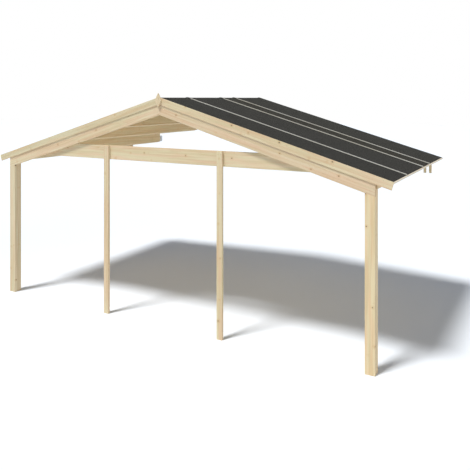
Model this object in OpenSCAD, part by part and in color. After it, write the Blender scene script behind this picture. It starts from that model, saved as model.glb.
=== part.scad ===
// Patio cover: a gable roof on a front row of posts, whose back end joins a cabin.
// X runs across the front, Y from the front row back to the cabin, Z up.
// Drawn with the ground at Z = 0 and the front of the posts at Y = 0, then moved so that
// the origin is the centre of the ridge purlin's flat back end.

/* [Overall] */
// Width over the outer faces of the corner posts
frame_w = 6000; // [5400:10:6600]
// Depth from the front of the posts to the back of the roof
frame_d = 3050; // [2400:10:3600]
// Height of the roof boards' underside at the ridge
ridge_h = 3125; // [3050:5:3300]
// Pitch of the roof in degrees
roof_pitch = 16.4; // [14.5:0.1:17.5]
// How far the roof boards' underside reaches past the corner posts
eave_overhang = 195; // [100:5:300]

/* [Posts] */
// Side of the square corner posts
corner_post = 120; // [100:1:140]
// Width of the mid posts across the front
mid_post_w = 82; // [60:1:100]
// Depth of the mid posts, from front to back
mid_post_d = 40; // [30:1:60]
// Width over the outer faces of the two mid posts
mid_post_span = 2000; // [1600:10:2400]

/* [Front frame] */
// Thickness of the front rafters
rafter_t = 40; // [35:1:60]
// Depth of the front rafters, square to the slope
rafter_h = 210; // [180:1:230]
// Thickness of the tie beam
tie_t = 45; // [35:1:60]
// Height of the tie beam's section
tie_h = 200; // [160:1:220]
// Height of the roof boards' underside at the ridge above the tie beam's underside
tie_drop = 878; // [820:1:900]
// Length of the tie beam
tie_l = 5000; // [4700:10:5400]

/* [Purlins] */
// Thickness of the side purlins, which are bevelled to the slope at their top and underside
purlin_t = 60; // [45:1:70]
// Plumb depth of the side purlins
purlin_h = 204; // [170:1:220]
// Distance from the centre line to the middle of the upper purlin
ridge_bay = 690; // [640:5:760]
// Distance between the middles of the middle and the lower purlin
middle_bay = 887; // [800:1:960]
// Distance between the middles of the lower purlin and the eave beam
eave_bay = 724; // [620:2:820]
// Thickness of the ridge purlin and the eave beams
beam_t = 45; // [35:1:60]
// Depth of the ridge purlin at its peak
ridge_purlin_h = 145; // [135:1:180]
// Depth of an eave beam on its inner face
eave_beam_h = 145; // [130:1:170]
// How far an eave beam stands out past the corner posts
eave_beam_out = 15; // [5:1:25]

/* [Roof skin] */
// Thickness of the roof boards
board_t = 19; // [16:1:28]
// Thickness of the roofing felt
felt_t = 3; // [2:0.5:5]
// Width of the cover battens
batten_w = 24; // [20:1:50]
// Height of the cover battens
batten_h = 8; // [6:1:20]
// Gap along the slope between the ridge and the top ends of the cover battens
batten_gap = 45; // [10:5:90]
// Distance of the front felt seam from the front edge of the roof
front_seam = 680; // [500:10:900]
// Distance of the middle felt seam from the front edge of the roof
middle_seam = 1640; // [1400:5:1750]
// Distance of the rear felt seam from the front edge of the roof
rear_seam = 2080; // [1950:5:2250]

/* [Gable trim] */
// Thickness of the bargeboards
barge_t = 12; // [9:1:25]
// Width of the bargeboards, square to the slope
barge_h = 98; // [80:1:140]
// How far the bargeboards stand above the roof boards, square to the slope
barge_rise = 6; // [4:1:20]
// How far the bargeboards reach past the roof boards at the eaves
barge_reach = 14; // [0:1:30]
// Width of the diamond over the bargeboards' joint
diamond_w = 105; // [70:1:130]
// Height of the diamond
diamond_h = 200; // [180:5:260]
// Thickness of the diamond
diamond_t = 20; // [15:1:28]
// How far the diamond's top corner stands above the roof boards' underside at the ridge
diamond_rise = 82; // [60:1:110]

/* [Joining pieces] */
// Length of a steel joining plate, half of it past its purlin's end
plate_l = 310; // [200:10:340]
// Height of a steel joining plate
plate_h = 115; // [100:5:130]
// Thickness of a steel joining plate
plate_t = 2.5; // [2:0.5:4]
// Radius of a plate's corners
plate_r = 25; // [5:1:35]
// Height of a plate's lower edge above the lowest edge of its purlin
plate_edge = 15; // [5:1:30]
// Spacing of the bolt holes in a plate's free half, both ways
bolt_spacing = 60; // [40:5:70]
// Diameter of the bolt holes
bolt_hole_d = 11; // [9:0.5:13]
// Width of the cleats beside an eave beam's back end
cleat_w = 37; // [20:1:45]
// Depth of the cleats, from front to back
cleat_d = 34; // [25:1:60]
// How far the cleats hang below the eave beam
cleat_drop = 150; // [80:5:200]

/* [Hidden] */

timber = "#e0cda6";
shaded_timber = "#c9b48c";
felt_grey = "#3c3c38";
batten_grey = "#b4b2a6";
steel = "#9a9c96";

// Overshoot of a cutting shape past the face it cuts through
cut = 1;
bore_facets = 48;

half_w = frame_w / 2;
roof_slope = tan(roof_pitch);
rafter_drop = rafter_h / cos(roof_pitch);
// Length of the roof boards' underside from the ridge to the eave
slope_l = (half_w + eave_overhang) / cos(roof_pitch);
felt_top = board_t + felt_t;
tie_z = ridge_h - tie_drop;
tie_top = tie_z + tie_h;

eave_beam_outer = half_w + eave_beam_out;
eave_beam_inner = eave_beam_outer - beam_t;
upper_purlin_x = ridge_bay;
lower_purlin_x = eave_beam_outer - beam_t / 2 - eave_bay;
middle_purlin_x = lower_purlin_x - middle_bay;
eave_beam_z = under_roof(eave_beam_inner) - eave_beam_h;
cleat_z = eave_beam_z - cleat_drop;

// Underside of the roof boards, and of the rafters, at a distance x from the centre line
function under_roof(x) = ridge_h - roof_slope * x;
function under_rafter(x) = under_roof(x) - rafter_drop;

// A point s down the slope from the ridge and n square to it, above the boards' underside
function on_slope(s, n) = [
    s * cos(roof_pitch) + n * sin(roof_pitch),
    ridge_h - s * sin(roof_pitch) + n * cos(roof_pitch)
];
// The point above the centre line at n square to the slope
function at_ridge(n) = [0, ridge_h + n / cos(roof_pitch)];

// The faces and the lowest edge of a side purlin whose middle is at x
function up_slope_face(x) = x - purlin_t / 2;
function down_slope_face(x) = x + purlin_t / 2;
function purlin_z(x) = under_roof(down_slope_face(x)) - purlin_h;

// A purlin that meets the tie beam stops at its back, and the others reach the rafter
function meets_tie(x) = up_slope_face(x) < tie_l / 2 && purlin_z(x) < tie_top;
function purlin_front(x) = rafter_t + (meets_tie(x) ? tie_t : 0);

// Moves the drawing so that the origin is on the ridge purlin's back end
module in_frame() {
    translate([0, -frame_d, -(ridge_h - ridge_purlin_h / 2)])
        children();
}

module left_side() {
    in_frame()
        mirror([1, 0, 0])
            children();
}

module right_side() {
    in_frame()
        children();
}

// An outline in X and Z, drawn out from y0 to y1
module from_to(y0, y1, outline) {
    translate([0, y1, 0])
        rotate([90, 0, 0])
            linear_extrude(height = y1 - y0)
                polygon(outline);
}

// A timber that runs back under the roof, from x0 to x1, with its top cut to the slope
module sloped_timber(x0, x1, z0, y0, y1) {
    from_to(y0, y1, [[x0, z0], [x1, z0], [x1, under_roof(x1)], [x0, under_roof(x0)]]);
}

// A layer on the slope between n0 and n1, plumb at the ridge and square at the eave
module slope_layer(n0, n1, length, y0, y1) {
    from_to(y0, y1, [at_ridge(n0), on_slope(length, n0), on_slope(length, n1), at_ridge(n1)]);
}

module rafter_bar() {
    from_to(0, rafter_t, [
        [0, under_rafter(0)], [half_w, under_rafter(half_w)],
        [half_w, under_roof(half_w)], [0, under_roof(0)]
    ]);
}

// The room that the rafter takes from the head of a corner post
module rafter_housing() {
    from_to(-cut, rafter_t, [
        [0, under_rafter(0)], [half_w + cut, under_rafter(half_w + cut)],
        [half_w + cut, ridge_h], [0, ridge_h]
    ]);
}

// The room that the eave beam takes from the head of a corner post
module eave_beam_housing() {
    translate([eave_beam_inner, 0, eave_beam_z])
        cube([beam_t, corner_post + cut, ridge_h]);
}

module corner_post_bar() {
    color(timber)
        difference() {
            sloped_timber(half_w - corner_post, half_w, 0, 0, corner_post);
            rafter_housing();
            eave_beam_housing();
        }
}

module mid_post_bar() {
    outer = mid_post_span / 2;
    height = min(tie_top, under_rafter(outer));
    color(timber)
        translate([outer - mid_post_w, rafter_t - mid_post_d, 0])
            cube([mid_post_w, mid_post_d, height]);
}

module rafter() {
    color(timber)
        rafter_bar();
}

module bargeboard() {
    top = board_t + barge_rise;
    color(timber)
        slope_layer(top - barge_h, top, slope_l + barge_reach, -barge_t, 0);
}

// A side purlin, with its top and its underside bevelled to the slope
module purlin(x) {
    inner = up_slope_face(x);
    outer = down_slope_face(x);
    color(shaded_timber)
        from_to(purlin_front(x), frame_d, [
            [inner, under_roof(inner) - purlin_h], [outer, under_roof(outer) - purlin_h],
            [outer, under_roof(outer)], [inner, under_roof(inner)]
        ]);
}

module eave_beam() {
    color(shaded_timber)
        sloped_timber(eave_beam_inner, eave_beam_outer, eave_beam_z, rafter_t, frame_d);
}

module roof_boards() {
    color(timber)
        slope_layer(0, board_t, slope_l, 0, frame_d);
}

// A felt strip lies over both slopes in one piece
module felt_strip(y0, y1) {
    right_top = on_slope(slope_l, felt_top);
    right_low = on_slope(slope_l, board_t);
    mirror_x = [[-1, 0], [0, 1]];
    color(felt_grey)
        in_frame()
            from_to(y0, y1, [
                at_ridge(board_t), right_low, right_top,
                at_ridge(felt_top), mirror_x * right_top, mirror_x * right_low
            ]);
}

// A batten with square ends over a seam of the felt
module cover_batten(seam) {
    top = felt_top + batten_h;
    color(batten_grey)
        from_to(seam - batten_w / 2, seam + batten_w / 2, [
            on_slope(batten_gap, felt_top), on_slope(slope_l, felt_top),
            on_slope(slope_l, top), on_slope(batten_gap, top)
        ]);
}

// A rectangle about its middle, with round corners
module rounded_rectangle(length, height, radius) {
    square([length - 2 * radius, height], center = true);
    square([length, height - 2 * radius], center = true);
    for (side_x = [-1, 1], side_y = [-1, 1])
        translate([side_x * (length / 2 - radius), side_y * (height / 2 - radius)])
            circle(r = radius, $fn = bore_facets);
}

// A joining plate on the down-slope face of a purlin, with its bolt holes in the free half
module joining_plate(x) {
    color(steel)
        translate([down_slope_face(x), frame_d, purlin_z(x) + plate_edge + plate_h / 2])
            difference() {
                rotate([90, 0, 90])
                    linear_extrude(height = plate_t)
                        rounded_rectangle(plate_l, plate_h, plate_r);
                for (side_y = [-1, 1], side_z = [-1, 1])
                    translate([-cut, plate_l / 4, 0] + [0, side_y, side_z] * bolt_spacing / 2)
                        rotate([0, 90, 0])
                            cylinder(h = plate_t + 2 * cut, d = bolt_hole_d, $fn = bore_facets);
            }
}

module cleat(x0) {
    color(shaded_timber)
        sloped_timber(x0, x0 + cleat_w, cleat_z, frame_d - cleat_d, frame_d);
}

module left_corner_post() left_side() corner_post_bar();
module right_corner_post() right_side() corner_post_bar();
module left_mid_post() left_side() mid_post_bar();
module right_mid_post() right_side() mid_post_bar();

// The tie beam's ends are cut to the slope where they reach the roof boards
module tie_beam() {
    end = tie_l / 2;
    knee = min(end, (ridge_h - tie_top) / roof_slope);
    end_top = min(tie_top, under_roof(end));
    color(timber)
        in_frame()
            from_to(rafter_t, rafter_t + tie_t, [
                [-end, tie_z], [end, tie_z], [end, end_top],
                [knee, tie_top], [-knee, tie_top], [-end, end_top]
            ]);
}

module left_rafter() left_side() rafter();
module right_rafter() right_side() rafter();
module left_bargeboard() left_side() bargeboard();
module right_bargeboard() right_side() bargeboard();

module gable_diamond() {
    top = ridge_h + diamond_rise;
    middle = top - diamond_h / 2;
    color(timber)
        in_frame()
            from_to(-barge_t - diamond_t, -barge_t, [
                [0, top - diamond_h], [diamond_w / 2, middle], [0, top], [-diamond_w / 2, middle]
            ]);
}

module ridge_purlin() {
    side = beam_t / 2;
    bottom = ridge_h - ridge_purlin_h;
    color(shaded_timber)
        in_frame()
            from_to(rafter_t, frame_d, [
                [-side, bottom], [side, bottom], [side, under_roof(side)],
                [0, ridge_h], [-side, under_roof(side)]
            ]);
}

module left_upper_purlin() left_side() purlin(upper_purlin_x);
module left_middle_purlin() left_side() purlin(middle_purlin_x);
module left_lower_purlin() left_side() purlin(lower_purlin_x);
module right_upper_purlin() right_side() purlin(upper_purlin_x);
module right_middle_purlin() right_side() purlin(middle_purlin_x);
module right_lower_purlin() right_side() purlin(lower_purlin_x);
module left_eave_beam() left_side() eave_beam();
module right_eave_beam() right_side() eave_beam();

module left_roof_boards() left_side() roof_boards();
module right_roof_boards() right_side() roof_boards();
module front_felt() felt_strip(0, front_seam);
module second_felt() felt_strip(front_seam, middle_seam);
module narrow_felt() felt_strip(middle_seam, rear_seam);
module rear_felt() felt_strip(rear_seam, frame_d);
module left_front_batten() left_side() cover_batten(front_seam);
module left_middle_batten() left_side() cover_batten(middle_seam);
module left_rear_batten() left_side() cover_batten(rear_seam);
module right_front_batten() right_side() cover_batten(front_seam);
module right_middle_batten() right_side() cover_batten(middle_seam);
module right_rear_batten() right_side() cover_batten(rear_seam);

module left_upper_plate() left_side() joining_plate(upper_purlin_x);
module left_middle_plate() left_side() joining_plate(middle_purlin_x);
module left_lower_plate() left_side() joining_plate(lower_purlin_x);
module right_upper_plate() right_side() joining_plate(upper_purlin_x);
module right_middle_plate() right_side() joining_plate(middle_purlin_x);
module right_lower_plate() right_side() joining_plate(lower_purlin_x);
module left_inner_cleat() left_side() cleat(eave_beam_inner - cleat_w);
module left_outer_cleat() left_side() cleat(eave_beam_outer);
module right_inner_cleat() right_side() cleat(eave_beam_inner - cleat_w);
module right_outer_cleat() right_side() cleat(eave_beam_outer);

left_corner_post();
right_corner_post();
left_mid_post();
right_mid_post();
tie_beam();
left_rafter();
right_rafter();
left_bargeboard();
right_bargeboard();
gable_diamond();
ridge_purlin();
left_upper_purlin();
left_middle_purlin();
left_lower_purlin();
right_upper_purlin();
right_middle_purlin();
right_lower_purlin();
left_eave_beam();
right_eave_beam();
left_roof_boards();
right_roof_boards();
front_felt();
second_felt();
narrow_felt();
rear_felt();
left_front_batten();
left_middle_batten();
left_rear_batten();
right_front_batten();
right_middle_batten();
right_rear_batten();
left_upper_plate();
left_middle_plate();
left_lower_plate();
right_upper_plate();
right_middle_plate();
right_lower_plate();
left_inner_cleat();
left_outer_cleat();
right_inner_cleat();
right_outer_cleat();
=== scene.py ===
import bpy
import numpy as np
from mathutils import Euler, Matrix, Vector


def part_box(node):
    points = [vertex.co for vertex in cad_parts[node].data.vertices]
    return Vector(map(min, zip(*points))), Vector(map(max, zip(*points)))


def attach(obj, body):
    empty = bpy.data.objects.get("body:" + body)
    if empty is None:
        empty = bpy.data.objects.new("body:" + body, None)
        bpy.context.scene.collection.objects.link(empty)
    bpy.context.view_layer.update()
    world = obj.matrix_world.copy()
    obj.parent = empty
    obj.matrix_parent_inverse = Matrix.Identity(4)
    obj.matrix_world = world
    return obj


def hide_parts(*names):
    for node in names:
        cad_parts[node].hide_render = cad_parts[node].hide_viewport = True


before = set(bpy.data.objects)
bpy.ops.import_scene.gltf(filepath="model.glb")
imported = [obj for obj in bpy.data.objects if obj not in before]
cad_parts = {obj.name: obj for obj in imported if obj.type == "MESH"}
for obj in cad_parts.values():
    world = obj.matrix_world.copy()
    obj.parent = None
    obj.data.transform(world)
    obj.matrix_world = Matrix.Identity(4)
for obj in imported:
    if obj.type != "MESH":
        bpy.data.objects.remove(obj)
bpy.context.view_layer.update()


# ------------------------------------------------------------------ corner posts
# Two square posts of planed spruce that stand on the ground. Their heads are housed for the
# rafter in front and for the eave beam outside, and their arrises are planed a little round.

arris = 0.003
upright = (0, -np.pi / 2, 0)

yellow_spruce = (0.722, 0.637, 0.425, 1)
pink_spruce = (0.738, 0.576, 0.388, 1)
latewood_tint = (0.86, 0.76, 0.62, 1)
streak_tint = (0.90, 0.86, 0.79, 1)
fibre_tint = (0.94, 0.91, 0.87, 1)
end_grain_tint = (0.94, 0.90, 0.84, 1)
knot_halo_tint = (0.93, 0.85, 0.76, 1)
knot_heart = (0.41, 0.285, 0.165, 1)
knot_rim = (0.21, 0.135, 0.080, 1)
dark_spot_colour = (0.085, 0.065, 0.050, 1)
grain_relief = 0.00035


class Socket:
    """A node's output. Arithmetic with it adds Math nodes, and node() adds any other node."""

    def __init__(self, output):
        self.output = output

    def node(self, kind, settings, values, result=0):
        """Adds a node of that kind: first its settings, then a value or a link for each input."""
        tree = self.output.id_data
        made = tree.nodes.new("ShaderNode" + kind)
        for name, setting in settings.items():
            setattr(made, name, setting)
        for name, value in values.items():
            if isinstance(value, Socket):
                tree.links.new(value.output, made.inputs[name])
            else:
                made.inputs[name].default_value = value
        return Socket(made.outputs[result])

    def part(self, name):
        """Another output of the same node."""
        return Socket(self.output.node.outputs[name])

    def maths(self, operation, *values):
        """A Math node with that operation on the values."""
        return self.node("Math", {"operation": operation}, dict(enumerate(values)))

    def vector(self, operation, *others, result=0):
        """A Vector Math node with that operation on this and the others."""
        values = dict(enumerate((self, *others)))
        return self.node("VectorMath", {"operation": operation}, values, result)

    def __add__(self, other):
        return self.maths("ADD", self, other)

    def __sub__(self, other):
        return self.maths("SUBTRACT", self, other)

    def __rsub__(self, other):
        return self.maths("SUBTRACT", other, self)

    def __mul__(self, other):
        return self.maths("MULTIPLY", self, other)

    def __truediv__(self, other):
        return self.maths("DIVIDE", self, other)

    def __pow__(self, power):
        return self.maths("POWER", self, power)

    def __abs__(self):
        return self.maths("ABSOLUTE", self)

    __radd__ = __add__
    __rmul__ = __mul__

    def ramp(self, low, high):
        """0 up to low, 1 from high on, and smooth between them."""
        settings = {"interpolation_type": "SMOOTHSTEP"}
        return self.node("MapRange", settings, {0: self, 1: low, 2: high})

    def blend(self, colour, other):
        """The colour where this is 0, and the other where it is 1."""
        return self.node("Mix", {"data_type": "RGBA"}, {0: self, 6: colour, 7: other}, 2)

    def stain(self, colour, tint):
        """The colour, multiplied by the tint where this is 1."""
        settings = {"data_type": "RGBA", "blend_type": "MULTIPLY"}
        return self.node("Mix", settings, {0: self, 6: colour, 7: tint}, 2)

    def noise(self, along, across, offset, detail=2.0):
        """Noise whose blotches are about so long along x, and so wide across it, in metres."""
        stretch = (1 / along, 1 / across, 1 / across)
        place = {"Vector": self, "Location": (offset, 2 * offset, 3 * offset), "Scale": stretch}
        stretched = self.node("Mapping", {"vector_type": "POINT"}, place)
        return self.node("TexNoise", {}, {"Vector": stretched, "Scale": 1, "Detail": detail})


def new_material(name):
    """A material, its object coordinates and its Principled shader."""
    material = bpy.data.materials.new(name)
    material.use_nodes = True
    tree = material.node_tree
    coordinates = Socket(tree.nodes.new("ShaderNodeTexCoord").outputs["Object"])
    return material, coordinates, tree.nodes["Principled BSDF"]


def finish(shader, colour, roughness, height, relief):
    """Links colour and roughness, and a bump that stands relief metres proud at height 1."""
    bump = height.node("Bump", {}, {"Height": height, "Distance": relief})
    for name, value in (("Base Color", colour), ("Roughness", roughness), ("Normal", bump)):
        shader.id_data.links.new(value.output, shader.inputs[name])


def spruce(name, centre, turn, knots=(), board=None, tones=(yellow_spruce, pink_spruce)):
    """Planed spruce, with x of its own axes along the grain and the pith beside the piece.

    Growth rings are the distance from the pith over the ring's width, bent by slow noise and
    round the knots, and a ring darkens with the cube of its fraction. Knots are branches that
    run outwards from the pith, long that way and round across it, and knots adds dead black
    spots as (x, y, z, radius): dead knots and other dark spots. board names an attribute that
    shifts the pattern, so that the boards of one mesh differ. The wood's colour drifts in bands
    between its two tones.
    """
    chance = np.random.default_rng(sum(name.encode()))
    axes = np.array(Euler(turn).to_matrix())
    pith = axes @ [0, *(chance.uniform(0.05, 0.11, 2) * chance.choice([-1, 1], 2))]
    offset = chance.uniform(0, 60)
    warmth = chance.uniform(-0.10, 0.10)
    ring_width = chance.uniform(0.0028, 0.0042)
    level = chance.uniform(0.98, 1.02)
    first_tone, second_tone = (tuple(level * np.array(tone[:3])) + (1,) for tone in tones)

    material, at, shader = new_material(name)
    values = {"Vector": at, "Location": np.array(centre) + pith, "Rotation": turn}
    grain = at.node("Mapping", {"vector_type": "TEXTURE"}, values)
    if board:
        shift = at.node("Attribute", {"attribute_name": board}, {}, "Vector")
        grain = grain.vector("ADD", shift)

    # One branch to each cell of a stretched Voronoi pattern. Its radius is 26 mm times a
    # random share, less 15 mm, so that about half of them have no size.
    cell = np.array([0.46, 0.12, 0.12])
    start = np.array([offset, 0, 0])
    cells = grain.node("Mapping", {}, {"Vector": grain, "Location": start, "Scale": 1 / cell})
    branch = cells.node("TexVoronoi", {}, {"Vector": cells, "Scale": 1}, "Position")
    share = branch.node("SeparateColor", {}, {0: branch.part("Color")})
    middle = branch.vector("SUBTRACT", start).vector("MULTIPLY", cell)
    outwards = middle.vector("MULTIPLY", (0, 1, 1)).vector("NORMALIZE")
    to_branch = grain.vector("SUBTRACT", middle)
    along_branch = to_branch.vector("DOT_PRODUCT", outwards, result=1)
    from_branch = to_branch.vector("LENGTH", result=1)
    round_branch = (from_branch ** 2 - along_branch ** 2 * 0.93) ** 0.5
    in_knot = share * 0.026 - 0.015 - round_branch
    dead = [radius - at.vector("DISTANCE", spot, result=1) for *spot, radius in knots]
    for depth in dead:
        in_knot = at.maths("MAXIMUM", in_knot, depth)
    knot = in_knot.ramp(-0.0008, 0.0008)
    rim = 1 - abs(in_knot).ramp(0.0, 0.0022)
    halo = in_knot.ramp(-0.030, 0.0)

    bend = grain.noise(1.3, 0.07, offset) * 0.022 + halo * halo * 0.010
    from_pith = grain.vector("MULTIPLY", (0, 1, 1)).vector("LENGTH", result=1)
    ring = at.maths("FRACT", (from_pith + bend) / ring_width)
    latewood = ring ** 3 * (1 - ring.ramp(0.93, 1.0))
    fibre = grain.noise(0.22, 0.0012, offset, 3.0)
    streak = grain.noise(0.9, 0.026, offset + 7).ramp(0.38, 0.66)
    blush = grain.noise(0.5, 0.045, offset + 13).ramp(0.36 - warmth, 0.66 - warmth)
    facing = at.part("Normal").vector("DOT_PRODUCT", axes[:, 0], result=1)
    end = abs(facing).ramp(0.6, 0.8)

    colour = blush.blend(first_tone, second_tone)
    colour = latewood.stain(colour, latewood_tint)
    colour = streak.stain(colour, streak_tint)
    colour = fibre.ramp(0.40, 0.75).stain(colour, fibre_tint)
    colour = halo.stain(colour, knot_halo_tint)
    colour = knot.blend(colour, knot_heart)
    colour = (rim * 0.75).blend(colour, knot_rim)
    # Dead black spots: dead knots, and the dark spot painted at the left post's housing.
    for depth in dead:
        colour = depth.ramp(-0.001, 0.002).blend(colour, dark_spot_colour)
    colour = end.stain(colour, end_grain_tint)
    roughness = 0.52 + fibre * 0.16 + end * 0.14 - knot * 0.10
    height = fibre * 0.35 + latewood * 0.35 + knot * 0.6 - rim * 0.5
    finish(shader, colour, roughness, height, grain_relief)
    return material


def round_over(piece, width):
    """Rounds the arrises of a piece over with a bevel of that width."""
    bevel = piece.modifiers.new("arris", "BEVEL")
    bevel.width = width
    bevel.segments = 2
    bevel.limit_method = "ANGLE"
    bevel.angle_limit = np.radians(30)


def dress(node, material, width=arris):
    """Gives a CAD node its material, joins its loose triangles and rounds its arrises over."""
    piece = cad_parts[node]
    piece.material_slots[0].material = material
    weld = piece.modifiers.new("weld", "WELD")
    weld.merge_threshold = 0.00005
    round_over(piece, width)


def middle_of(node):
    """The middle of a CAD node's box."""
    return sum(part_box(node), Vector()) / 2


# Dark spots on the posts as (x, y, z, radius): knots, and first on the left post a dark spot
# painted at the housing, where the rafter's lower edge meets the post's head.
post_dark_spots = {
    "left": [(-2.88, -3.04, -1.00, 0.012), (-2.88, -3.03, -2.86, 0.007)],
    "right": [(2.89, -3.05, -1.00, 0.005), (2.90, -3.05, -1.37, 0.006),
              (2.97, -3.05, -2.28, 0.005)],
}
post_tones = {
    "left": ((0.708, 0.650, 0.460, 1), (0.728, 0.608, 0.413, 1)),
    "right": ((0.775, 0.663, 0.428, 1), (0.802, 0.618, 0.384, 1)),
}
for side, knots in post_dark_spots.items():
    node = side + "_corner_post"
    dress(node, spruce(node, middle_of(node), upright, knots, tones=post_tones[side]))


# ------------------------------------------------------------------ mid posts and tie beam
# Two thin posts carry the tie beam across the front. They stand in front of it, and each is
# held to it by four countersunk screws of yellow-passivated steel with star recesses.

along_x = (0, 0, 0)
screw_radius = 0.0046
screw_spread = Vector((0.019, 0, 0.058))
passivated_yellow = (0.62, 0.50, 0.29, 1)
dull_patch = (0.80, 0.80, 0.80, 1)
coating_relief = 0.00004

# The head's rings from its buried edge to the middle of the recess: radius, height, lobes
screw_rings = np.array([(1.0, -0.0020, 0), (1.0, 0.0003, 0), (0.84, 0.0007, 0),
                        (0.45, 0.0008, 0.16), (0.36, -0.0012, 0.16), (0.02, -0.0014, 0)])


def add_piece(name, points, faces, material):
    """A mesh of points (n, 3) and lists of corners, which rides on the frame's body."""
    mesh = bpy.data.meshes.new(name)
    mesh.from_pydata(np.reshape(points, (-1, 3)), [], faces)
    mesh.materials.append(material)
    piece = bpy.data.objects.new(name, mesh)
    bpy.context.scene.collection.objects.link(piece)
    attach(piece, "root")
    return piece


def grid_faces(copies, rows, columns, wrapped):
    """Corners of the quads of so many grids. Rows run on, and wrapped columns close up."""
    across = columns if wrapped else columns - 1
    i, j = np.meshgrid(np.arange(rows - 1), np.arange(across), indexing="ij")
    beside = (j + 1) % columns
    quads = np.stack([i * columns + j, i * columns + beside,
                      (i + 1) * columns + beside, (i + 1) * columns + j], axis=-1)
    first = np.arange(copies)[:, None, None] * rows * columns
    return (first + quads.reshape(1, -1, 4)).reshape(-1, 4).tolist()


def both_sides(*spots):
    """The spots, each (x, y, z), and the same on the other side of the roof."""
    right = np.array(spots, float)
    return np.concatenate([right * (-1, 1, 1), right])


def turned_heads(name, places, facing, rings, radius, material, sides=12):
    """Fixing heads: rings of (radius, height, lobes) turned round the way that each one faces.

    A point is place + facing * height + radius * r * (u cos a + v sin a), where r is 1 plus
    or minus the lobes at every other corner, which cuts a star.
    """
    places, facing = np.broadcast_arrays(places, facing)
    spare = np.where(abs(facing[:, 2:]) > 0.9, (1, 0, 0), (0, 0, 1))
    u = np.cross(spare, facing)
    u = u / np.linalg.norm(u, axis=1, keepdims=True)
    v = np.cross(facing, u)
    angle = np.arange(sides) * 2 * np.pi / sides
    star = 1 + rings[:, 2:] * np.cos(angle * sides / 2)
    reach = radius * rings[:, :1] * star
    turn = np.cos(angle)[:, None] * u[:, None, :] + np.sin(angle)[:, None] * v[:, None, :]
    height = facing[:, None, None, :] * rings[None, :, None, 1:2]
    points = places[:, None, None, :] + height + reach[None, :, :, None] * turn[:, None]
    faces = grid_faces(len(places), len(rings), sides, True)
    return add_piece(name, points, faces, material)


def coated_steel(name, colour, metallic, crystal):
    """Zinc on steel: crystals of slightly different tone and gloss, with faint dull patches."""
    material, at, shader = new_material(name)
    shader.inputs["Metallic"].default_value = metallic
    grains = at.node("TexVoronoi", {}, {"Vector": at, "Scale": 1 / crystal}, "Color")
    tone = grains.node("SeparateColor", {}, {0: grains})
    dull = at.noise(0.05, 0.05, 3.0).ramp(0.45, 0.75)
    colour = dull.stain(tone.stain(colour, dull_patch), dull_patch)
    roughness = 0.34 + tone * 0.12 + dull * 0.15
    finish(shader, colour, roughness, tone * 0.5 + dull * 0.5, coating_relief)
    return material


tie_knots = [(1.125, -3.01, -0.69, 0.006), (0.41, -3.01, -0.69, 0.005),
             (-0.29, -3.01, -0.685, 0.005)]
dress("tie_beam", spruce("tie_beam", middle_of("tie_beam"), along_x, tie_knots))
for node in ("left_mid_post", "right_mid_post"):
    dress(node, spruce(node, middle_of(node), upright))

screw_steel = coated_steel("yellow_screw_steel", passivated_yellow, 1.0, 0.004)
tie_low, tie_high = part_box("tie_beam")
mid_low, mid_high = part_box("right_mid_post")
tie_middle = Vector(((mid_low.x + mid_high.x) / 2, mid_low.y, (tie_low.z + tie_high.z) / 2))
signs = [(-1, -1), (-1, 1), (1, -1), (1, 1)]
places = [tie_middle + Vector((screw_spread.x * i, 0, screw_spread.z * j)) for i, j in signs]
forwards = (0, -1, 0)
turned_heads("mid_post_screws", both_sides(*places), forwards, screw_rings, screw_radius,
             screw_steel)


# ------------------------------------------------------------------ rafters
# Two planed spruce rafters, plumb cut where they meet at the ridge and at the corner posts.
# Pairs of screws hold them to each other, the purlins, the tie beam and the posts.

rafter_screw_depths = np.array([0.100, 0.165])
apex_screws_x = 0.03
screws_from_tie_end = 0.12

eave_low, eave_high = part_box("right_eave_beam")
rafter_low, rafter_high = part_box("right_rafter")
ridge_z = rafter_high.z
pitch = np.arctan2(ridge_z - eave_high.z, eave_low.x)
front = rafter_low.y
down_slope = {"left": (0, -pitch, 0), "right": (0, pitch, 0)}


def on_slope(x, depth, y):
    """The spot at x, so deep square to the slope below the boards' underside, at that y."""
    x, depth = np.broadcast_arrays(x, depth)
    z = ridge_z - x * np.tan(pitch) - depth / np.cos(pitch)
    return np.stack([x, np.full(x.shape, y), z], axis=-1).reshape(-1, 3)


def slope_knots(y, spots):
    """Knots on a sloping face at that y, given as x, the depth below the boards and radius."""
    return [(x, y, on_slope(abs(x), depth, y)[0, 2], radius) for x, depth, radius in spots]


rafter_knots = {
    "left": [(-1.15, 0.115, 0.005), (-1.925, 0.130, 0.005)],
    "right": [(0.28, 0.130, 0.006), (1.82, 0.125, 0.005), (2.23, 0.170, 0.005),
              (2.575, 0.130, 0.006)],
}
rafter_tones = {
    "left": (yellow_spruce, pink_spruce),
    "right": ((0.700, 0.592, 0.405, 1), (0.716, 0.545, 0.370, 1)),
}
for side, spots in rafter_knots.items():
    node = side + "_rafter"
    knots = slope_knots(front, spots)
    dress(node, spruce(node, middle_of(node), down_slope[side], knots, tones=rafter_tones[side]))

purlin_middles = [middle_of(f"right_{place}_purlin").x for place in ("upper", "middle", "lower")]
post_middle = middle_of("right_corner_post").x
held_at = np.array([apex_screws_x, *purlin_middles, tie_high.x - screws_from_tie_end,
                    post_middle])
places = on_slope(held_at[:, None], rafter_screw_depths, front)
turned_heads("rafter_screws", both_sides(*places), forwards, screw_rings, screw_radius,
             screw_steel)


# ------------------------------------------------------------------ eave beams and cleats
# An eave beam runs back from each corner post, let into the outer side of its head. Two
# short cleats of spruce hang beside its back end and are screwed on from outside and inside.

along_y = (0, 0, np.pi / 2)
cleat_arris = 0.002
eave_screw_heights = np.array([0.030, 0.095])
screws_into_post = 0.085

for side in ("left", "right"):
    node = side + "_eave_beam"
    dress(node, spruce(node, middle_of(node), along_y))
    for place in ("inner", "outer"):
        cleat = f"{side}_{place}_cleat"
        dress(cleat, spruce(cleat, middle_of(cleat), upright), cleat_arris)

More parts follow.
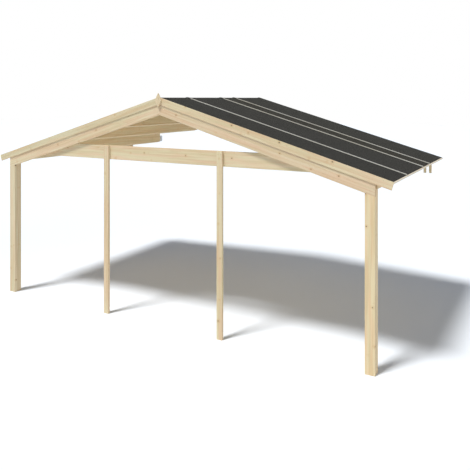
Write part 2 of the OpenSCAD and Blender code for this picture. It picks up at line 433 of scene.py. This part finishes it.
cleat_low, cleat_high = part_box("right_outer_cleat")
inner_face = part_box("right_inner_cleat")[0].x
cleat_y = (cleat_low.y + cleat_high.y) / 2
heights = eave_low.z + eave_screw_heights
outer_places = [(cleat_high.x, cleat_y, z) for z in heights]
outer_places += [(eave_high.x, front + screws_into_post, z) for z in heights]
inner_places = [(inner_face, cleat_y, z) for z in heights]
places = np.concatenate([both_sides(*outer_places), both_sides(*inner_places)])
way_out = np.repeat([1, -1], [2 * len(outer_places), 2 * len(inner_places)])[:, None]
outwards = np.sign(places[:, :1]) * way_out * (1, 0, 0)
turned_heads("eave_screws", places, outwards, screw_rings, screw_radius, screw_steel)


# ------------------------------------------------------------------ purlins
# The ridge purlin and three purlins a side run back from the front. All are planed spruce on
# edge, with their tops bevelled to the slope so that the roof boards lie flat on them.

purlin_tones = ((0.765, 0.655, 0.392, 1), (0.790, 0.611, 0.351, 1))
upper_purlin_tones = ((0.705, 0.590, 0.355, 1), (0.725, 0.545, 0.315, 1))

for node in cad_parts:
    if node.endswith("purlin"):
        tones = upper_purlin_tones if node.endswith("upper_purlin") else purlin_tones
        dress(node, spruce(node, middle_of(node), along_y, tones=tones))


# ------------------------------------------------------------------ joining plates
# Galvanised steel plates, one on the down-slope face of each side purlin's back end. Four
# screws hold a plate to its purlin, and the free half's holes are for the building behind.

plate_zinc = (0.50, 0.505, 0.50, 1)
plate_arris = 0.0004
plate_screw_radius = 0.0055
plate_screw_offset = 0.030
plate_screw_rings = np.array([(1.0, -0.0010, 0), (1.0, 0.0012, 0), (0.80, 0.0026, 0),
                              (0.45, 0.0030, 0.16), (0.36, 0.0012, 0.16), (0.02, 0.0010, 0)])

plate_steel = coated_steel("plate_zinc", plate_zinc, 0.9, 0.014)
places = []
for place in ("upper", "middle", "lower"):
    for side in ("left", "right"):
        dress(f"{side}_{place}_plate", plate_steel, plate_arris)
    low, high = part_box(f"right_{place}_plate")
    middle = Vector((high.x, low.y + (high.y - low.y) / 4, (low.z + high.z) / 2))
    places += [middle + Vector((0, i, j)) * plate_screw_offset for i, j in signs]
places = both_sides(*places)
turned_heads("plate_screws", places, np.sign(places[:, :1]) * (1, 0, 0), plate_screw_rings,
             plate_screw_radius, plate_steel)


# ------------------------------------------------------------------ roof boards
# Tongued and grooved spruce boards, laid side by side from the front to the back over the
# purlins and a little past their back ends. Chamfered lower edges make a V at every joint.

boards_a_side = 26
back_overhang = 0.046
chamfer = 0.004
joint = 0.0008
tongue = 0.0055
tongue_faces = np.array([0.42, 0.62])
ridge_joint = 0.0004
uneven_cut = 0.0012
grain_shift = (40, 0.04, 0.04)

deck_low, deck_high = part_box("right_roof_boards")
board_thick = (deck_high.z - ridge_z) * np.cos(pitch)
slope_length = (deck_high.x - board_thick * np.sin(pitch)) / np.cos(pitch)
roof_back = deck_high.y + back_overhang


def slope_points(side, d, n, y):
    """Points of a slope from d, the distance down it, n, the height square to it, and y.

    A point is at x = d cos p + n sin p, or minus that on the left, and z = ridge + n cos p -
    d sin p, where p is the pitch. n is 0 at the boards' underside.
    """
    way = -1 if side == "left" else 1
    x = way * (d * np.cos(pitch) + n * np.sin(pitch))
    z = ridge_z + n * np.cos(pitch) - d * np.sin(pitch)
    return np.stack(np.broadcast_arrays(x, y, z), axis=-1)


def facing_out(side, faces):
    """The faces, turned over on the left, where the points mirror those on the right."""
    return [corners[::-1] for corners in faces] if side == "left" else faces


def tongued_boards(side, node):
    """Boards as a profile in y and n, carried along d from the plumb cut at the ridge.

    Each board is cut at the eave, up to the uneven cut short of the slope's length. Its grain
    is shifted at random, by up to grain_shift along the slope and across it.
    """
    width = (roof_back - deck_low.y) / boards_a_side
    edge = width / 2 - joint / 2
    t = board_thick * tongue_faces
    profile = np.array([
        (chamfer - edge, 0), (edge - chamfer, 0), (edge, chamfer), (edge, t[0]),
        (edge + tongue, t[0]), (edge + tongue, t[1]), (edge, t[1]), (edge, board_thick),
        (-edge, board_thick), (-edge, t[1]), (tongue - edge, t[1]), (tongue - edge, t[0]),
        (-edge, t[0]), (-edge, chamfer),
    ])
    count = len(profile)
    chance = np.random.default_rng(len(side))
    middles = deck_low.y + width * (np.arange(boards_a_side) + 0.5)
    y = np.clip(middles[:, None, None] + profile[:, 0], deck_low.y, roof_back)
    n = profile[:, 1]
    trimmed = chance.uniform(0, uneven_cut, (boards_a_side, 1))
    ends = np.broadcast_arrays(ridge_joint - n * np.tan(pitch), slope_length - trimmed)
    points = slope_points(side, np.stack(ends, axis=1), n, y)

    faces = grid_faces(boards_a_side, 2, count, True)
    first = np.arange(boards_a_side)[:, None] * 2 * count
    faces += (first + np.arange(count)[::-1]).tolist()
    faces += (first + count + np.arange(count)).tolist()
    material = spruce(side + "_roof_boards", middle_of(node), down_slope[side], board="board")
    name = side + "_tongued_boards"
    piece = add_piece(name, points, facing_out(side, faces), material)
    shift = chance.uniform(-1, 1, (boards_a_side, 3)) * grain_shift
    attribute = piece.data.attributes.new("board", "FLOAT_VECTOR", "POINT")
    attribute.data.foreach_set("vector", shift.repeat(2 * count, axis=0).ravel())
    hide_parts(node)


for side in ("left", "right"):
    tongued_boards(side, side + "_roof_boards")


# ------------------------------------------------------------------ eave laths
# A planed spruce lath is nailed over the boards' ends at each eave, level with their tops, and
# runs from the bargeboard to the back of the roof.

lath_thick = 0.0135
lath_arris = 0.0015
pale_spruce = ((0.74, 0.69, 0.58, 1), (0.75, 0.67, 0.55, 1))


def planed_lath(name, side, d, n, y, material):
    """A rectangle from the two d and the two n, carried along y from its first to its last."""
    corner_d, corner_n = np.take(d, [0, 1, 1, 0]), np.take(n, [0, 0, 1, 1])
    points = slope_points(side, corner_d, corner_n, np.reshape(y, (2, 1)))
    faces = grid_faces(1, 2, 4, True) + [[3, 2, 1, 0], [4, 5, 6, 7]]
    lath = add_piece(name, points, facing_out(side, faces), material)
    round_over(lath, lath_arris)
    return lath


for side in ("left", "right"):
    name = side + "_eave_lath"
    middle = slope_points(side, slope_length, 0, (deck_low.y + roof_back) / 2)
    material = spruce(name, middle, along_y, tones=pale_spruce)
    planed_lath(name, side, (slope_length, slope_length + lath_thick), (0, board_thick),
                (deck_low.y, roof_back), material)


# ------------------------------------------------------------------ roofing felt
# Four strips of mineral felt, each in one piece over the ridge from eave to eave. A strip's
# front edge laps over the strip before it, and a strip lifts a little over the ridge there.

felt_charcoal = (0.0175, 0.0172, 0.0145)
felt_pale_grain = (0.095, 0.094, 0.084)
felt_dark_grain = (0.008, 0.008, 0.008, 1)
dusty = (0.036, 0.035, 0.030, 1)
felt_grain = 0.0016
felt_grain_relief = 0.0006
felt_thick = 0.0015
felt_inset = 0.001
felt_gap = 0.0001
felt_grid = (161, 41)
felt_lap = 0.012
felt_wave = 0.0005
felt_bend = 0.004
hump_height = 0.007
hump_length = 0.038
hump_width = 0.060
hump_past_seam = 0.022
hump_from_back = 0.055

# Each strip's lap over the one before, its reach past the CAD's back edge and its tint
felt_strips = (
    ("front", 0, 0, (1.06, 1.04, 1.04)),
    ("second", felt_lap, 0, (1.12, 1.10, 1.10)),
    ("narrow", felt_lap, 0, (1.10, 1.03, 0.86)),
    ("rear", felt_lap, back_overhang, (1.06, 1.05, 1.0)),
)
humps = [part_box(name + "_felt")[0].y + hump_past_seam for name in ("second", "narrow", "rear")]
humps.append(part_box("rear_felt")[1].y + back_overhang - hump_from_back)


def mineral_felt(name, tint):
    """Slate grains in bitumen: Voronoi grains over slow blotches and rain streaks."""
    material, at, shader = new_material(name)
    shader.inputs["Specular IOR Level"].default_value = 0.1
    base = (*np.multiply(tint, felt_charcoal), 1)
    pale = (*np.multiply(tint, felt_pale_grain), 1)
    grains = at.node("TexVoronoi", {}, {"Vector": at, "Scale": 1 / felt_grain}, "Color")
    grain = grains.node("SeparateColor", {}, {0: grains})
    blotch = at.noise(0.30, 0.16, len(name)).ramp(0.35, 0.75)
    streak = at.noise(1.6, 0.05, 2 * len(name)).ramp(0.42, 0.75)
    patch = at.noise(0.03, 0.014, 3 * len(name), 3.0).ramp(0.35, 0.70)
    colour = (grain.ramp(0.72, 1.0) * (0.45 + patch * 0.75)).blend(base, pale)
    colour = (1 - grain.ramp(0.0, 0.35)).blend(colour, felt_dark_grain)
    colour = (blotch * 0.25 + streak * 0.20).blend(colour, dusty)
    finish(shader, colour, 0.86 + grain * 0.08, grain, felt_grain_relief)
    return material


def felt_sheet(name, node, lap, overhang, tint):
    """A strip of felt as a grid in x and y, whose height over the roof boards is a sum.

    The sum is a gap, two slow waves of half a millimetre each, the lap over the strip before
    it, and humps, each its height times exp(-((y - its y) / its length)^2 - (x / its width)^2).
    The grid is closer at the ridge and at the strip's edges, and the sheet gets its thickness
    upwards.
    """
    low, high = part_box(node)
    start, end = low.y - lap, high.y + overhang
    u, v = (np.linspace(-1, 1, count) for count in felt_grid)
    x = (high.x - felt_inset) * (0.3 * u + 0.7 * u ** 3)
    y = (start + end + (end - start) * (0.25 * v + 0.75 * np.sin(v * np.pi / 2))) / 2
    x, y = np.meshgrid(x, y, indexing="ij")
    chance = np.random.default_rng(len(name))
    a, b, c, d = chance.uniform(0, 2 * np.pi, 4)
    waves = 0.5 + 0.5 * np.sin(x * 6.1 + a) * np.sin(y * 5.3 + b)
    waves = waves + 0.5 + 0.5 * np.sin(x * 2.3 - y * 3.7 + c) * np.sin(y * 9.1 + d)
    height = board_thick + felt_gap + felt_wave * waves
    over = np.clip((low.y + felt_lap - y) / (2 * felt_lap), 0, 1)
    height = height + felt_thick * over * over * (3 - 2 * over)
    for hump in humps:
        bulge = np.exp(-((y - hump) / hump_length) ** 2 - (x / hump_width) ** 2)
        height = height + hump_height * bulge
    bend = np.sqrt(x ** 2 + felt_bend ** 2)
    z = ridge_z + height / np.cos(pitch) - bend * np.tan(pitch)
    points = np.stack([x, y, z], axis=-1)
    faces = [corners[::-1] for corners in grid_faces(1, *x.shape, False)]
    piece = add_piece(name, points, faces, mineral_felt(name, tint))
    wall = piece.modifiers.new("thickness", "SOLIDIFY")
    wall.thickness = felt_thick
    wall.offset = 1
    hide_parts(node)


for name, lap, overhang, tint in felt_strips:
    felt_sheet(name + "_felt_sheet", name + "_felt", lap, overhang, tint)


# ------------------------------------------------------------------ cover battens
# Thin battens of weathered spruce lie over the felt's seams, from just below the ridge down
# to the eave. Flat-headed clout nails hold them down every 330 mm.

trimmed_off = 0.018
nail_spacing = 0.33
nail_radius = 0.0045
first_nail = 0.03
last_nail = 0.02
silver_grey = (0.60, 0.61, 0.585, 1)
dull_grey = (0.53, 0.525, 0.49, 1)
clout_rings = np.array([(1.0, -0.0008, 0), (1.0, 0.0006, 0),
                        (0.85, 0.0011, 0), (0.02, 0.0012, 0)])

batten_low, batten_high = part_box("right_front_batten")
felt_top = (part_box("front_felt")[1].z - ridge_z) * np.cos(pitch)
batten_gap = (batten_low.x - felt_top * np.sin(pitch)) / np.cos(pitch)
batten_top = (batten_high.z - ridge_z + batten_gap * np.sin(pitch)) / np.cos(pitch)
batten_end = (batten_high.x - batten_top * np.sin(pitch)) / np.cos(pitch)

places = []
for place in ("front", "middle", "rear"):
    low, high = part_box(f"right_{place}_batten")
    for side in ("left", "right"):
        node = f"{side}_{place}_batten"
        weathered = spruce(node, middle_of(node), down_slope[side], tones=(silver_grey, dull_grey))
        batten = planed_lath(
            node + "_lath", side, (batten_gap + trimmed_off, batten_end), (felt_top, batten_top),
            (low.y, high.y), weathered,
        )
        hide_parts(node)
    x = np.arange(low.x + trimmed_off + first_nail, high.x - last_nail, nail_spacing)
    places.append(on_slope(x, -batten_top, (low.y + high.y) / 2))
places = both_sides(*np.concatenate(places))
up = np.sign(places[:, :1]) * (np.sin(pitch), 0, 0) + (0, 0, np.cos(pitch))
turned_heads("batten_nails", places, up, clout_rings, nail_radius, plate_steel)


# ------------------------------------------------------------------ bargeboards and diamond
# Planed bargeboards cover the front edge of the roof and are screwed to the rafters. The
# diamond, a pointed piece of the same board, covers their joint at the ridge.

barge_screw_pairs = 6
barge_screw_depths = np.array([-0.002, 0.045])
first_barge_screws = 0.16
last_barge_screws = 0.12
diamond_screws = (-0.035, 0.035)

barge_low, barge_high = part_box("right_bargeboard")
barge_tones = {
    "left": ((0.672, 0.608, 0.410, 1), (0.696, 0.569, 0.369, 1)),
    "right": (yellow_spruce, pink_spruce),
}
barge_knots = {
    "left": [(-0.78, 0.0, 0.004)],
    "right": [(1.15, 0.0, 0.006), (1.39, 0.015, 0.004), (1.82, -0.005, 0.008),
              (2.50, -0.005, 0.007)],
}
for side, spots in barge_knots.items():
    node = side + "_bargeboard"
    knots = slope_knots(barge_low.y, spots)
    dress(node, spruce(node, middle_of(node), down_slope[side], knots, tones=barge_tones[side]))
dress("gable_diamond", spruce("gable_diamond", middle_of("gable_diamond"), upright))

x = np.linspace(first_barge_screws, barge_high.x - last_barge_screws, barge_screw_pairs)
places = on_slope(x[:, None], barge_screw_depths, barge_low.y)
turned_heads("bargeboard_screws", both_sides(*places), forwards, screw_rings, screw_radius,
             screw_steel)
low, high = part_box("gable_diamond")
places = np.array([(0, low.y, (low.z + high.z) / 2 + height) for height in diamond_screws])
turned_heads("diamond_screws", places, forwards, screw_rings, screw_radius, screw_steel)


# ------------------------------------------------------------------ floor, light and camera
# A plain white floor that keeps the shadow, a soft sun from the front left, a broad fill
# light from the right and a pale sky. The camera stands level, in front on the right.

floor_white = (0.90, 0.938, 0.985, 1)
floor_reach = 60.0

floor_mesh = bpy.data.meshes.new("floor")
ground_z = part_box("left_corner_post")[0].z
corners = np.array([(-1, -1), (1, -1), (1, 1), (-1, 1)]) * floor_reach
floor_mesh.from_pydata([(x, y, ground_z) for x, y in corners], [], [(0, 1, 2, 3)])
floor = bpy.data.objects.new("floor", floor_mesh)
bpy.context.scene.collection.objects.link(floor)
floor_material, at, shader = new_material("white_floor")
shader.inputs["Base Color"].default_value = floor_white
shader.inputs["Roughness"].default_value = 1.0
shader.inputs["Specular IOR Level"].default_value = 0.0
floor_mesh.materials.append(floor_material)

# Each lamp's power, its width in degrees and the way that it shines
lamps = (("sun", 3.0, 12, (0.197, 0.456, -1.0)), ("fill", 0.95, 70, (-1.0, 0.25, -0.08)))
for name, power, width, direction in lamps:
    lamp = bpy.data.lights.new(name, "SUN")
    lamp.energy = power
    lamp.angle = np.radians(width)
    light = bpy.data.objects.new(name, lamp)
    light.rotation_euler = Vector(direction).to_track_quat("-Z", "Y").to_euler()
    bpy.context.scene.collection.objects.link(light)

# The sky lights the object faintly, and is white where the camera or a reflection sees it
sky_power = 0.220
sky_blue = (0.93, 1.0, 1.13, 1)
white = (1, 1, 1, 1)
world = bpy.data.worlds.new("sky")
world.use_nodes = True
bpy.context.scene.world = world
sky = world.node_tree.nodes["Background"]
path = world.node_tree.nodes.new("ShaderNodeLightPath").outputs
seen = Socket(path["Is Camera Ray"]) + Socket(path["Is Glossy Ray"])
seen = (seen + Socket(path["Is Transmission Ray"])).ramp(0.0, 1.0)
strength = sky_power + seen * (1 - sky_power)
world.node_tree.links.new(strength.output, sky.inputs["Strength"])
world.node_tree.links.new(seen.blend(sky_blue, white).output, sky.inputs["Color"])

lens = bpy.data.cameras.new("camera")
lens.sensor_width = 36
lens.lens = 44.54
lens.shift_x = 0.0007
lens.shift_y = -0.2907
lens.clip_end = 200
camera = bpy.data.objects.new("camera", lens)
camera.location = (4.8102, -9.5360, 0.0818)
camera.rotation_euler = (np.radians(90), 0, np.radians(29.17))
bpy.context.scene.collection.objects.link(camera)
bpy.context.scene.camera = camera
bpy.context.scene.view_settings.view_transform = "Standard"
